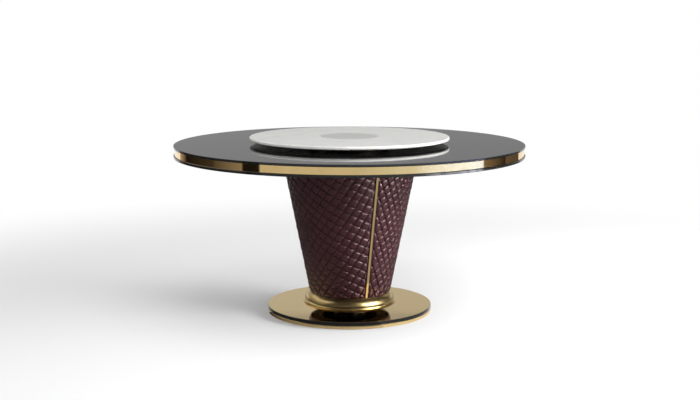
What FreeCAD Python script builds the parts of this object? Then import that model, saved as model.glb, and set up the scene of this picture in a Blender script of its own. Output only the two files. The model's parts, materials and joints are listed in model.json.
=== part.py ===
import FreeCAD, Part
import math
import os
import Sketcher
from types import SimpleNamespace

# Round dining table: a black top with a gold edge band, a quilted cone pedestal on a
# stepped round base, and a marble turntable on a ball bearing in the middle of the top.
# Millimetres, +Z up. The origin is on the floor on the pedestal's axis, and the front is -Y.

SIZES = {
    # top
    "table_height": 760,
    "top_radius": 778,
    "top_panel_thick": 11,
    "band_height": 30,
    "under_panel_thick": 12,
    "edge_round": 2.5,
    "band_inset": 4,
    "band_wall": 1.2,
    "glue_gap": 0.2,
    # base
    "base_radius": 368.7,
    "base_plate_thick": 14,
    "base_board_thick": 15,
    "base_sheet_thick": 1,
    "base_arris": 0.8,
    "glide_height": 2.6,
    "glide_radius": 15,
    "glide_arris": 0.6,
    "glide_pin_radius": 2.5,
    "glide_pin_length": 8,
    "glide_circle": 330,
    "glide_count": 6,
    # bolts between base and column
    "base_bolt_radius": 5,
    "base_bolt_head_radius": 8,
    "base_bolt_head_height": 6,
    "base_bolt_recess": 6.5,
    "base_bolt_circle": 115,
    "base_bolt_count": 6,
    "base_bolt_end": 3,
    "base_washer_radius": 10,
    "base_washer_thick": 2,
    "base_nut_across": 17,
    "base_nut_height": 8,
    "bolt_clearance": 0.3,
    "thread_fit": 0.1,
    # column
    "flange_radius": 150,
    "flange_thick": 10,
    "tube_radius": 70,
    "tube_wall": 5,
    "gusset_leg": 70,
    "gusset_toe": 8,
    "gusset_thick": 8,
    "gusset_count": 3,
    "gusset_turn": 30,
    "weld_gap": 0.2,
    "head_plate_radius": 255,
    "head_plate_thick": 8,
    "head_plate_bore": 50,
    # bolts between column and top
    "top_bolt_radius": 4,
    "top_bolt_head_radius": 6.5,
    "top_bolt_head_height": 8,
    "top_bolt_circle": 200,
    "top_bolt_count": 8,
    "top_bolt_reach": 16,
    "top_washer_radius": 8,
    "top_washer_thick": 1.6,
    "insert_radius": 8,
    "insert_length": 20,
    # drum that carries the upholstery
    "drum_head_radius": 302.8,
    "drum_foot_radius": 179.8,
    "drum_head_gap": 1.5,
    "shell_thick": 9,
    "hoop_thick": 18,
    "hoop_gap": 0.3,
    "head_hoop_bore": 222,
    "mid_hoop_width": 45,
    "mid_hoop_level": 385,
    "foot_hoop_bore": 124,
    "batten_width": 36,
    "batten_depth": 16,
    "batten_gap": 1.5,
    "batten_count": 6,
    "head_screw_radius": 3,
    "head_screw_head_radius": 6,
    "head_screw_head_height": 4,
    "head_screw_circle": 238,
    "head_screw_reach": 6,
    "head_screw_count": 6,
    "collar_screw_radius": 2.5,
    "collar_screw_head_radius": 5,
    "collar_screw_head_height": 3.5,
    "collar_screw_circle": 133,
    "collar_screw_end": 3,
    "collar_screw_count": 6,
    # quilted panels; the stitch lines are straight in the flat pattern of each half cone
    "quilt_depth": 4.5,
    "pad_thick": 8,
    "edge_draw": 1.5,
    "seam_draw": 3,
    "seam_turn": -65,
    "seam_gap_turn": 1.2,
    "front_falling_pitch": 35,
    "front_falling_angle": 39.8,
    "front_falling_start": 17.4,
    "front_rising_pitch": 34.4,
    "front_rising_angle": 45.2,
    "front_rising_start": 6.3,
    "rear_falling_pitch": 32,
    "rear_falling_angle": 48.8,
    "rear_falling_start": 24.4,
    "rear_rising_pitch": 32.4,
    "rear_rising_angle": 50.2,
    "rear_rising_start": 20.8,
    "stitch_snap": 4,
    # trim strips over the two seams
    "strip_width": 11,
    "strip_thick": 3,
    "strip_leg": 2.2,
    "strip_gap": 0.3,
    # collar at the pedestal's foot
    "collar_height": 57.4,
    "collar_wall": 2,
    "collar_foot_bore": 165,
    "collar_ledge_bore": 126,
    "bead_radius": 208.5,
    "bead_level": 14.4,
    "bead_head_round": 10.5,
    "quirk_radius": 202.5,
    "quirk_level": 23.9,
    "quirk_depth": 2.5,
    "quirk_set": 1.5,
    "cushion_round": 40.5,
    "cushion_head_radius": 181.5,
    "cushion_lip_drop": 1.5,
    "cushion_lip_run": 3,
    # turntable and its bearing
    "bearing_pad_radius": 7,
    "bearing_pad_thick": 1.5,
    "bearing_pad_circle": 170,
    "bearing_pad_count": 6,
    "outer_ring_radius": 178,
    "outer_ring_height": 8.5,
    "inner_ring_bore": 140,
    "inner_ring_height": 8.6,
    "bearing_height": 9.5,
    "race_radius": 160,
    "race_level": 4.8,
    "ring_gap": 2.8,
    "ball_radius": 2.8,
    "ball_gap": 0.3,
    "ball_count": 18,
    "cage_thick": 1.8,
    "cage_height": 7.8,
    "bearing_screw_radius": 2,
    "bearing_screw_head_radius": 3.5,
    "bearing_screw_head_height": 2.2,
    "bearing_screw_recess": 2.6,
    "bearing_screw_circle": 149,
    "bearing_screw_reach": 4.5,
    "bearing_screw_count": 6,
    "board_radius": 430,
    "board_thick": 6,
    "board_arris": 2,
    "marble_radius": 445,
    "marble_thick": 14,
    "marble_round": 5,
    "inlay_radius": 130,
    "inlay_thick": 5,
    "inlay_gap": 0.3,
    # depth by which a hole is cut past the face it leaves through
    "cut_past": 1,
}


class Size:
    """A size worked out from the sheet: its value and the expression that binds it."""

    def __init__(self, value, text):
        self.value = value
        self.text = text

    def __add__(self, other):
        other = as_size(other)
        return Size(self.value + other.value, f"({self.text} + {other.text})")

    def __sub__(self, other):
        other = as_size(other)
        return Size(self.value - other.value, f"({self.text} - {other.text})")

    def __mul__(self, other):
        other = as_size(other)
        return Size(self.value * other.value, f"({self.text} * {other.text})")

    def __truediv__(self, other):
        other = as_size(other)
        return Size(self.value / other.value, f"({self.text} / {other.text})")

    def __neg__(self):
        return Size(-self.value, f"(-{self.text})")


def as_size(number):
    if isinstance(number, Size):
        return number
    return Size(number, str(number))


def root(area):
    return Size(math.sqrt(area.value), f"sqrt({area.text})")


def fill_sheet(document):
    sheet = document.addObject("Spreadsheet::Sheet", "sizes")
    for row, (alias, number) in enumerate(SIZES.items(), start=1):
        sheet.set(f"A{row}", alias)
        sheet.set(f"B{row}", str(number))
        sheet.setAlias(f"B{row}", alias)
    document.recompute()
    return SimpleNamespace(
        **{alias: Size(float(sheet.get(alias)), f"sizes.{alias}") for alias in SIZES}
    )


doc = FreeCAD.newDocument("round_dining_table")
size = fill_sheet(doc)
zero = as_size(0)
subparts = []


# Drawing helpers

def bind(target, name, length):
    target.setExpression(name, length.text)


def origin_feature(body, role):
    return next(feature for feature in body.Origin.OriginFeatures if feature.Role == role)


def new_body(label):
    body = doc.addObject("PartDesign::Body", label)
    body.Label = label
    subparts.append(body)
    return body


def new_sketch(body, name, plane, level=None, offset=None):
    """An empty sketch on an origin plane, raised to a level or moved sideways by an offset."""
    sketch = body.newObject("Sketcher::SketchObject", name)
    sketch.AttachmentSupport = [(origin_feature(body, plane), "")]
    sketch.MapMode = "FlatFace"
    if level is not None:
        bind(sketch, "AttachmentOffset.Base.z", level)
    if offset is not None:
        bind(sketch, "AttachmentOffset.Base.x", offset)
    return sketch


def arc_between(start, end, radius):
    """The short arc between two points; a positive radius bulges to the right of the way.

    The arc always runs counterclockwise, so a negative radius gives it from end to start.
    """
    chord = end - start
    half = chord.Length / 2
    rise = abs(radius) - math.sqrt(radius * radius - half * half)
    side = FreeCAD.Vector(chord.y, -chord.x, 0).normalize()
    middle = (start + end) * 0.5 + side * math.copysign(rise, radius)
    return Part.Arc(start, middle, end) if radius > 0 else Part.Arc(end, middle, start)


def pin(sketch, geometry, end, axis, name, length):
    """Hold one coordinate of a point at a size from the sheet."""
    if length.text == zero.text:
        axis_line = -2 if axis == "X" else -1
        sketch.addConstraint(Sketcher.Constraint("PointOnObject", geometry, end, axis_line))
        return
    index = sketch.addConstraint(
        Sketcher.Constraint(f"Distance{axis}", -1, 1, geometry, end, length.value)
    )
    sketch.renameConstraint(index, name)
    bind(sketch, f"Constraints.{name}", length)


def draw(sketch, corners):
    """A closed outline. Each corner is (x, y), or (x, y, radius) where an arc leaves it."""
    points = [FreeCAD.Vector(corner[0].value, corner[1].value, 0) for corner in corners]
    ends = []
    for index, corner in enumerate(corners):
        start = points[index]
        end = points[(index + 1) % len(points)]
        if len(corner) == 2:
            geometry = sketch.addGeometry(Part.LineSegment(start, end))
            ends.append((geometry, 1, 2))
            continue
        geometry = sketch.addGeometry(arc_between(start, end, corner[2].value))
        ends.append((geometry, 1, 2) if corner[2].value > 0 else (geometry, 2, 1))
    for (geometry, _, last), (following, first, _) in zip(ends, ends[1:] + ends[:1]):
        sketch.addConstraint(Sketcher.Constraint("Coincident", geometry, last, following, first))
    for index, (geometry, first, _) in enumerate(ends):
        pin(sketch, geometry, first, "X", f"x{index}", corners[index][0])
        pin(sketch, geometry, first, "Y", f"y{index}", corners[index][1])
        if len(corners[index]) == 3:
            radius = corners[index][2]
            constraint = Sketcher.Constraint("Radius", geometry, abs(radius.value))
            name = f"round{index}"
            sketch.renameConstraint(sketch.addConstraint(constraint), name)
            bind(sketch, f"Constraints.{name}", radius if radius.value > 0 else -radius)


def draw_circle(sketch, radius, centre_x=zero, centre_y=zero):
    centre = FreeCAD.Vector(centre_x.value, centre_y.value, 0)
    circle = sketch.addGeometry(Part.Circle(centre, FreeCAD.Vector(0, 0, 1), radius.value))
    pin(sketch, circle, 3, "X", "centre_x", centre_x)
    pin(sketch, circle, 3, "Y", "centre_y", centre_y)
    sketch.renameConstraint(
        sketch.addConstraint(Sketcher.Constraint("Radius", circle, radius.value)), "radius"
    )
    bind(sketch, "Constraints.radius", radius)


def polar(body, originals, count):
    """Repeat features round the vertical axis."""
    pattern = body.newObject("PartDesign::PolarPattern", f"{body.Name}_ring_{len(body.Group)}")
    pattern.Originals = originals
    pattern.Axis = (origin_feature(body, "Z_Axis"), [""])
    pattern.Angle = 360
    bind(pattern, "Occurrences", count)
    body.Tip = pattern


def turned(label, corners):
    """A piece turned about the vertical axis from (radius, level) corners."""
    body = new_body(label)
    sketch = new_sketch(body, f"{label}_profile", "XZ_Plane")
    draw(sketch, corners)
    revolution = body.newObject("PartDesign::Revolution", f"{label}_turned")
    revolution.Profile = sketch
    revolution.ReferenceAxis = (sketch, ["V_Axis"])
    revolution.Angle = 360
    return body


def turned_set(label, circle, count, corners):
    """Separate turned pieces, each about its own upright axis, spaced round a circle."""
    body = new_body(label)
    sketch = new_sketch(body, f"{label}_profile", "XZ_Plane", offset=circle)
    draw(sketch, corners)
    revolution = body.newObject("PartDesign::Revolution", f"{label}_turned")
    revolution.Profile = sketch
    revolution.ReferenceAxis = (sketch, ["V_Axis"])
    revolution.Angle = 360
    polar(body, [revolution], count)


def drill(body, circle, count, radius, top, depth):
    """A ring of upright holes, cut down from the level top."""
    number = len(body.Group)
    sketch = new_sketch(body, f"{body.Name}_hole_{number}", "XY_Plane", level=top)
    draw_circle(sketch, radius, centre_x=circle)
    pocket = body.newObject("PartDesign::Pocket", f"{body.Name}_drilled_{number}")
    pocket.Profile = sketch
    bind(pocket, "Length", depth)
    polar(body, [pocket], count)


def disc(radius, bottom, top, arris):
    """Corners of a solid disc with both edges broken."""
    return [
        (zero, bottom),
        (radius - arris, bottom),
        (radius, bottom + arris),
        (radius, top - arris),
        (radius - arris, top),
        (zero, top),
    ]


def rounded_disc(radius, bottom, top, edge):
    """Corners of a solid disc with both edges rounded."""
    return [
        (zero, bottom),
        (radius - edge, bottom, edge),
        (radius, bottom + edge),
        (radius, top - edge, edge),
        (radius - edge, top),
        (zero, top),
    ]


def ring(bore, radius, bottom, top):
    """Corners of a ring with a square section."""
    return [(bore, bottom), (radius, bottom), (radius, top), (bore, top)]


def pan_head(head_radius, head_height, shank_radius, seat, end):
    """Corners of a screw whose head bears on the level seat and whose shank reaches end."""
    upward = 1 if end.value > seat.value else -1
    crown = seat - head_height * upward
    corners = [
        (zero, crown),
        (head_radius, crown),
        (head_radius, seat),
        (shank_radius, seat),
        (shank_radius, end),
        (zero, end),
    ]
    return corners if upward > 0 else corners[::-1]


# Levels that the pieces share

base_plate_low = size.glide_height
base_plate_top = base_plate_low + size.base_plate_thick
base_board_top = base_plate_top + size.base_board_thick
base_top = base_board_top + size.base_sheet_thick
flange_top = base_top + size.flange_thick
drum_foot = base_top + size.collar_height
top_panel_low = size.table_height - size.top_panel_thick
under_panel_top = top_panel_low - size.band_height
underside = under_panel_top - size.under_panel_thick
head_plate_low = underside - size.head_plate_thick
drum_end = underside - size.drum_head_gap
head_hoop_low = head_plate_low - size.hoop_thick
mid_hoop_top = size.mid_hoop_level + size.hoop_thick
foot_hoop_top = drum_foot + size.hoop_thick

drum_slope = (size.drum_head_radius - size.drum_foot_radius) / (underside - drum_foot)
panel_back_inset = size.quilt_depth + size.pad_thick
shell_inset = panel_back_inset + size.hoop_gap
shell_bore_inset = shell_inset + size.shell_thick
hoop_inset = shell_bore_inset + size.hoop_gap


def drum_radius(level, inset):
    """Radius of the pedestal's cone at a level, less an inset from the quilt's crowns."""
    return size.drum_foot_radius + (level - drum_foot) * drum_slope - inset


# Base: glides, ballast plate with the gold rim, black board and mirror sheet

def make_floor_glides():
    turned_set("floor_glides", size.glide_circle, size.glide_count, [
        (zero, zero),
        (size.glide_radius - size.glide_arris, zero),
        (size.glide_radius, size.glide_arris),
        (size.glide_radius, base_plate_low),
        (size.glide_pin_radius, base_plate_low),
        (size.glide_pin_radius, base_plate_low + size.glide_pin_length),
        (zero, base_plate_low + size.glide_pin_length),
    ])


def drill_for_base_bolts(body, top, depth):
    hole = size.base_bolt_radius + size.bolt_clearance
    drill(body, size.base_bolt_circle, size.base_bolt_count, hole, top, depth)


def make_base():
    plate = turned("base_plate", disc(size.base_radius, base_plate_low, base_plate_top, size.base_arris))
    drill_for_base_bolts(plate, base_plate_top, size.base_plate_thick + size.cut_past)
    drill(
        plate,
        size.base_bolt_circle,
        size.base_bolt_count,
        size.base_bolt_head_radius + size.bolt_clearance,
        base_plate_low + size.base_bolt_recess,
        size.base_bolt_recess + size.cut_past,
    )
    drill(
        plate,
        size.glide_circle,
        size.glide_count,
        size.glide_pin_radius + size.thread_fit,
        base_plate_low + size.glide_pin_length,
        size.glide_pin_length + size.cut_past,
    )
    board = turned("base_board", disc(size.base_radius, base_plate_top, base_board_top, size.base_arris))
    drill_for_base_bolts(board, base_board_top, size.base_board_thick + size.cut_past)
    sheet_edge = size.base_radius - size.base_arris
    sheet = turned("base_sheet", [
        (zero, base_board_top),
        (sheet_edge, base_board_top),
        (sheet_edge, base_top),
        (zero, base_top),
    ])
    drill_for_base_bolts(sheet, base_top, size.base_sheet_thick + size.cut_past)


def make_base_fasteners():
    seat = base_plate_low + size.base_bolt_recess
    washer_top = flange_top + size.base_washer_thick
    nut_top = washer_top + size.base_nut_height
    bore = size.base_bolt_radius + size.thread_fit
    circle = size.base_bolt_circle
    count = size.base_bolt_count
    turned_set("base_bolts", circle, count, pan_head(
        size.base_bolt_head_radius,
        size.base_bolt_head_height,
        size.base_bolt_radius,
        seat,
        nut_top + size.base_bolt_end,
    ))
    turned_set("base_washers", circle, count, ring(bore, size.base_washer_radius, flange_top, washer_top))
    make_base_nuts(washer_top, bore)


def make_base_nuts(level, bore):
    """Hexagon nuts: flats across Y, a corner towards the pedestal's axis."""
    body = new_body("base_nuts")
    flat = size.base_nut_across / 2
    corner = size.base_nut_across / root(as_size(3))
    circle = size.base_bolt_circle
    hexagon = new_sketch(body, "base_nuts_hexagon", "XY_Plane", level=level)
    draw(hexagon, [
        (circle + corner, zero),
        (circle + corner / 2, flat),
        (circle - corner / 2, flat),
        (circle - corner, zero),
        (circle - corner / 2, -flat),
        (circle + corner / 2, -flat),
    ])
    pad = body.newObject("PartDesign::Pad", "base_nuts_blank")
    pad.Profile = hexagon
    bind(pad, "Length", size.base_nut_height)
    hole = new_sketch(body, "base_nuts_hole", "XY_Plane", level=level + size.base_nut_height)
    draw_circle(hole, bore, centre_x=circle)
    pocket = body.newObject("PartDesign::Pocket", "base_nuts_bored")
    pocket.Profile = hole
    bind(pocket, "Length", size.base_nut_height + size.cut_past)
    polar(body, [pad, pocket], size.base_bolt_count)


# Column: foot flange, tube, gussets and head plate, all steel

def make_column():
    flange = turned("foot_flange", [
        (zero, base_top),
        (size.flange_radius, base_top),
        (size.flange_radius, flange_top),
        (zero, flange_top),
    ])
    drill_for_base_bolts(flange, flange_top, size.flange_thick + size.cut_past)
    turned("column_tube", ring(
        size.tube_radius - size.tube_wall, size.tube_radius, flange_top, head_plate_low
    ))
    head = turned("head_plate", ring(
        size.head_plate_bore, size.head_plate_radius, head_plate_low, underside
    ))
    drill_for_top_bolts(head, underside, size.head_plate_thick + size.cut_past)
    drill(
        head,
        size.head_screw_circle,
        size.head_screw_count,
        size.head_screw_radius + size.thread_fit,
        underside,
        size.head_plate_thick + size.cut_past,
    )
    make_gussets("foot_gussets", flange_top, size.gusset_leg, size.gusset_toe)
    make_gussets("head_gussets", head_plate_low, -size.gusset_leg, -size.gusset_toe)


def make_gussets(label, seat, rise, toe):
    """Plates welded in the corner of the tube and a flange, standing up or hanging down."""
    body = new_body(label)
    back = size.tube_radius + size.weld_gap
    sketch = new_sketch(body, f"{label}_outline", "XZ_Plane")
    draw(sketch, [
        (back, seat),
        (back + size.gusset_leg, seat),
        (back + size.gusset_leg, seat + toe),
        (back + size.gusset_toe, seat + rise),
        (back, seat + rise),
    ])
    pad = body.newObject("PartDesign::Pad", f"{label}_plate")
    pad.Profile = sketch
    pad.Midplane = True
    bind(pad, "Length", size.gusset_thick)
    polar(body, [pad], size.gusset_count)
    body.setExpression("Placement.Rotation.Angle", size.gusset_turn.text)


def drill_for_top_bolts(body, top, depth):
    hole = size.top_bolt_radius + size.bolt_clearance
    drill(body, size.top_bolt_circle, size.top_bolt_count, hole, top, depth)


# Top: two black panels with a board core between them, wrapped in the gold band

def make_top():
    under = turned("under_panel", rounded_disc(
        size.top_radius, underside, under_panel_top, size.edge_round
    ))
    drill_for_top_bolts(under, under_panel_top, size.under_panel_thick + size.cut_past)
    band_radius = size.top_radius - size.band_inset
    band_bore = band_radius - size.band_wall
    turned("edge_band", ring(band_bore, band_radius, under_panel_top, top_panel_low))
    core_radius = band_bore - size.glue_gap
    core = turned("top_core", [
        (zero, under_panel_top),
        (core_radius, under_panel_top),
        (core_radius, top_panel_low),
        (zero, top_panel_low),
    ])
    drill(
        core,
        size.top_bolt_circle,
        size.top_bolt_count,
        size.insert_radius + size.glue_gap,
        under_panel_top + size.insert_length,
        size.insert_length + size.cut_past,
    )
    turned("top_panel", rounded_disc(
        size.top_radius, top_panel_low, size.table_height, size.edge_round
    ))


def make_top_fasteners():
    circle = size.top_bolt_circle
    count = size.top_bolt_count
    washer_low = head_plate_low - size.top_washer_thick
    bore = size.top_bolt_radius + size.thread_fit
    turned_set("top_inserts", circle, count, ring(
        bore, size.insert_radius, under_panel_top, under_panel_top + size.insert_length
    ))
    turned_set("top_washers", circle, count, ring(
        bore, size.top_washer_radius, washer_low, head_plate_low
    ))
    turned_set("top_bolts", circle, count, pan_head(
        size.top_bolt_head_radius,
        size.top_bolt_head_height,
        size.top_bolt_radius,
        washer_low,
        under_panel_top + size.top_bolt_reach,
    ))


# Drum: a bent plywood cone on three hoops, with battens between them

def hoop(label, bore, bottom, top):
    return turned(label, [
        (bore, bottom),
        (drum_radius(bottom, hoop_inset), bottom),
        (drum_radius(top, hoop_inset), top),
        (bore, top),
    ])


def make_drum():
    turned("drum_shell", [
        (drum_radius(drum_foot, shell_bore_inset), drum_foot),
        (drum_radius(drum_foot, shell_inset), drum_foot),
        (drum_radius(drum_end, shell_inset), drum_end),
        (drum_radius(drum_end, shell_bore_inset), drum_end),
    ])
    head = hoop("drum_head_hoop", size.head_hoop_bore, head_hoop_low, head_plate_low)
    drill(
        head,
        size.head_screw_circle,
        size.head_screw_count,
        size.head_screw_radius + size.bolt_clearance,
        head_plate_low,
        size.hoop_thick + size.cut_past,
    )
    mid_bore = drum_radius(size.mid_hoop_level, hoop_inset) - size.mid_hoop_width
    hoop("drum_mid_hoop", mid_bore, size.mid_hoop_level, mid_hoop_top)
    foot = hoop("drum_foot_hoop", size.foot_hoop_bore, drum_foot, foot_hoop_top)
    drill(
        foot,
        size.collar_screw_circle,
        size.collar_screw_count,
        size.collar_screw_radius + size.bolt_clearance,
        foot_hoop_top,
        size.hoop_thick + size.cut_past,
    )
    turned_set("head_screws", size.head_screw_circle, size.head_screw_count, pan_head(
        size.head_screw_head_radius,
        size.head_screw_head_height,
        size.head_screw_radius,
        head_hoop_low,
        head_plate_low + size.head_screw_reach,
    ))
    make_battens()


def sloping_pad(body, sketch, name, height):
    """Extrude a level outline up the slope of the drum."""
    pad = body.newObject("PartDesign::Pad", name)
    pad.Profile = sketch
    pad.UseCustomVector = True
    pad.AlongSketchNormal = True
    pad.Direction = FreeCAD.Vector(drum_slope.value, 0, 1)
    bind(pad, "Direction.x", drum_slope)
    bind(pad, "Length", height)
    return pad


def make_battens():
    body = new_body("drum_battens")
    half = size.batten_width / 2
    pads = []
    spans = [("lower", foot_hoop_top, size.mid_hoop_level), ("upper", mid_hoop_top, head_hoop_low)]
    for name, bottom, top in spans:
        face = drum_radius(bottom, shell_bore_inset + size.batten_gap)
        back = face - size.batten_depth
        sketch = new_sketch(body, f"batten_{name}_section", "XY_Plane", level=bottom)
        draw(sketch, [(back, -half), (face, -half), (face, half), (back, half)])
        pads.append(sloping_pad(body, sketch, f"batten_{name}", top - bottom))
    polar(body, pads, size.batten_count)
    body.setExpression("Placement.Rotation.Angle", size.seam_turn.text)


# Upholstery: two quilted half cones with trim strips over their seams

def flat_crossing(falling, rising, column, row):
    """Where two stitch lines cross, in the flat pattern whose centre is the cone's tip."""
    along_falling = falling.start + column * falling.pitch
    along_rising = rising.start + row * rising.pitch
    spread = math.sin(falling.angle + rising.angle)
    across = along_falling * math.cos(rising.angle) - along_rising * math.cos(falling.angle)
    away = along_falling * math.sin(rising.angle) + along_rising * math.sin(falling.angle)
    return across / spread, away / spread


def stitch_lines(side, family):
    """One family of parallel stitch lines, by its pitch, angle and first distance."""
    prefix = f"{side}_{family}"
    return SimpleNamespace(
        pitch=getattr(size, f"{prefix}_pitch").value,
        angle=math.radians(getattr(size, f"{prefix}_angle").value),
        start=getattr(size, f"{prefix}_start").value,
    )


def line_range(lines, sign, radii, half_turn):
    """Numbers of the first and last stitch line that reach a half cone's flat pattern."""
    steps = 24
    distances = []
    for radius in radii:
        for step in range(steps + 1):
            turn = half_turn * (2 * step / steps - 1)
            across = sign * radius * math.sin(turn) * math.sin(lines.angle)
            away = radius * math.cos(turn) * math.cos(lines.angle)
            distances.append((across + away - lines.start) / lines.pitch)
    return range(math.floor(min(distances)) - 1, math.ceil(max(distances)) + 1)


def trimmed(polygon, limits):
    """The part of a polygon of (turn, level) points inside the limits of a half cone."""
    for axis, limit, sign in limits:
        kept = []
        for index, point in enumerate(polygon):
            before = polygon[index - 1]
            inside = sign * (point[axis] - limit) >= 0
            was_inside = sign * (before[axis] - limit) >= 0
            if inside != was_inside:
                share = (limit - before[axis]) / (point[axis] - before[axis])
                other = round(before[1 - axis] + share * (point[1 - axis] - before[1 - axis]), 9)
                kept.append((limit, other) if axis == 0 else (other, limit))
            if inside:
                kept.append(point)
        polygon = kept
    return polygon


def polygon_area(polygon):
    pairs = zip(polygon, polygon[1:] + polygon[:1])
    return abs(sum(a[0] * b[1] - b[0] * a[1] for a, b in pairs)) / 2


def make_quilted_panel(label, side, middle_turn):
    """A half cone of padding: one low pyramid per stitched diamond over a smooth back."""
    slope = drum_slope.value
    lean = slope / math.sqrt(1 + slope * slope)
    bottom = round(drum_foot.value, 9)
    top = round(drum_end.value, 9)
    half_turn = round(math.pi / 2 - math.radians(size.seam_gap_turn.value) / 2, 9)
    limits = [(0, -half_turn, 1), (0, half_turn, -1), (1, bottom, 1), (1, top, -1)]
    falling = stitch_lines(side, "falling")
    rising = stitch_lines(side, "rising")
    snap = size.stitch_snap.value
    seam_level = size.drum_foot_radius.value - size.quilt_depth.value

    def crown_radius(level):
        return size.drum_foot_radius.value + (level - bottom) * slope

    def crossing(column, row):
        across, away = flat_crossing(falling, rising, column, row)
        radius = math.hypot(across, away) * lean
        turn = math.atan2(across, away) / lean
        level = bottom + (radius - size.drum_foot_radius.value) / slope
        for edge in (-half_turn, half_turn):
            if abs(turn - edge) * radius < snap:
                turn = edge
        for edge in (bottom, top):
            if abs(level - edge) < snap:
                level = edge
        return round(turn, 9), round(level, 9)

    def draw_in(point):
        if abs(point[0]) == half_turn:
            return size.seam_draw.value
        return size.edge_draw.value if point[1] in (bottom, top) else 0

    def in_space(point, rise):
        radius = seam_level + (point[1] - bottom) * slope + rise
        return FreeCAD.Vector(radius * math.cos(point[0]), radius * math.sin(point[0]), point[1])

    radii = [crown_radius(level) / lean for level in (bottom, top)]
    whole = falling.pitch * rising.pitch / math.sin(falling.angle + rising.angle)
    faces = []
    rims = {limit: set() for limit in limits}
    for column in line_range(falling, 1, radii, half_turn * lean):
        for row in line_range(rising, -1, radii, half_turn * lean):
            corners = [
                crossing(column, row),
                crossing(column + 1, row),
                crossing(column + 1, row + 1),
                crossing(column, row + 1),
            ]
            diamond = trimmed(corners, limits)
            diamond = [p for i, p in enumerate(diamond) if p != diamond[i - 1]]
            if len(diamond) < 3 or polygon_area(diamond) < 1e-6:
                continue
            centre = tuple(sum(p[axis] for p in diamond) / len(diamond) for axis in (0, 1))
            share = min(1, polygon_area(diamond) * crown_radius(centre[1]) / (whole * math.cos(lean)))
            low = sum(draw_in(p) for p in diamond) / len(diamond)
            crown = in_space(centre, size.quilt_depth.value * math.sqrt(share) - low)
            rim = [in_space(p, -draw_in(p)) for p in diamond]
            for first, second in zip(rim, rim[1:] + rim[:1]):
                faces.append(Part.Face(Part.makePolygon([crown, first, second, crown])))
            for limit in limits:
                rims[limit].update(p for p in diamond if p[limit[0]] == limit[1])

    def back_point(turn, level):
        return in_space((turn, level), -size.pad_thick.value)

    def wall(limit, back_edge):
        """One planar side wall, from the rim of the diamonds to an edge of the back."""
        rim = [in_space(p, -draw_in(p)) for p in sorted(rims[limit])]
        ends = back_edge.Vertexes[0].Point, back_edge.Vertexes[-1].Point
        near, far = sorted(ends, key=rim[-1].distanceToPoint)
        edges = [Part.makeLine(a, b) for a, b in zip(rim, rim[1:])]
        edges += [Part.makeLine(rim[-1], near), back_edge, Part.makeLine(far, rim[0])]
        return Part.Face(Part.Wire(edges))

    generator = Part.makeLine(back_point(-half_turn, bottom), back_point(-half_turn, top))
    turn_degrees = math.degrees(2 * half_turn)
    back = generator.revolve(FreeCAD.Vector(), FreeCAD.Vector(0, 0, 1), turn_degrees)
    faces.append(back)
    for limit in limits:
        if limit[0] == 0:
            edge = Part.makeLine(back_point(limit[1], bottom), back_point(limit[1], top))
        else:
            turns = (-half_turn, 0, half_turn)
            edge = Part.Arc(*[back_point(turn, limit[1]) for turn in turns]).toShape()
        faces.append(wall(limit, edge))
    shell = Part.makeShell(faces)
    shell.sewShape()
    solid = Part.makeSolid(shell)
    if solid.Volume < 0:
        solid.reverse()
    panel = doc.addObject("Part::Feature", label)
    panel.Label = label
    panel.Shape = solid
    panel.Placement = FreeCAD.Placement(
        FreeCAD.Vector(), FreeCAD.Rotation(FreeCAD.Vector(0, 0, 1), middle_turn)
    )
    subparts.append(panel)


def make_seam_strip(label, turn):
    """A T section strip: its leg stands in the seam and its cap covers both edges."""
    body = new_body(label)
    half_cap = size.strip_width / 2
    half_leg = size.strip_leg / 2
    cap_low = drum_radius(drum_foot, size.quilt_depth) + size.strip_gap
    leg_low = cap_low - size.strip_gap - size.pad_thick
    cap_top = cap_low + size.strip_thick
    sketch = new_sketch(body, f"{label}_section", "XY_Plane", level=drum_foot)
    draw(sketch, [
        (leg_low, -half_leg),
        (cap_low, -half_leg),
        (cap_low, -half_cap),
        (cap_top, -half_cap),
        (cap_top, half_cap),
        (cap_low, half_cap),
        (cap_low, half_leg),
        (leg_low, half_leg),
    ])
    sloping_pad(body, sketch, f"{label}_drawn", drum_end - drum_foot)
    bind(body, "Placement.Rotation.Angle", turn)


def make_upholstery():
    seam = size.seam_turn
    quarter = 90
    make_quilted_panel("quilted_panel_front", "front", seam.value - quarter)
    make_quilted_panel("quilted_panel_rear", "rear", seam.value + quarter)
    make_seam_strip("seam_strip_front", seam)
    make_seam_strip("seam_strip_rear", seam + 2 * quarter)


# Collar: a hollow ring with a round bead, a quirk and a cushion moulding

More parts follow.
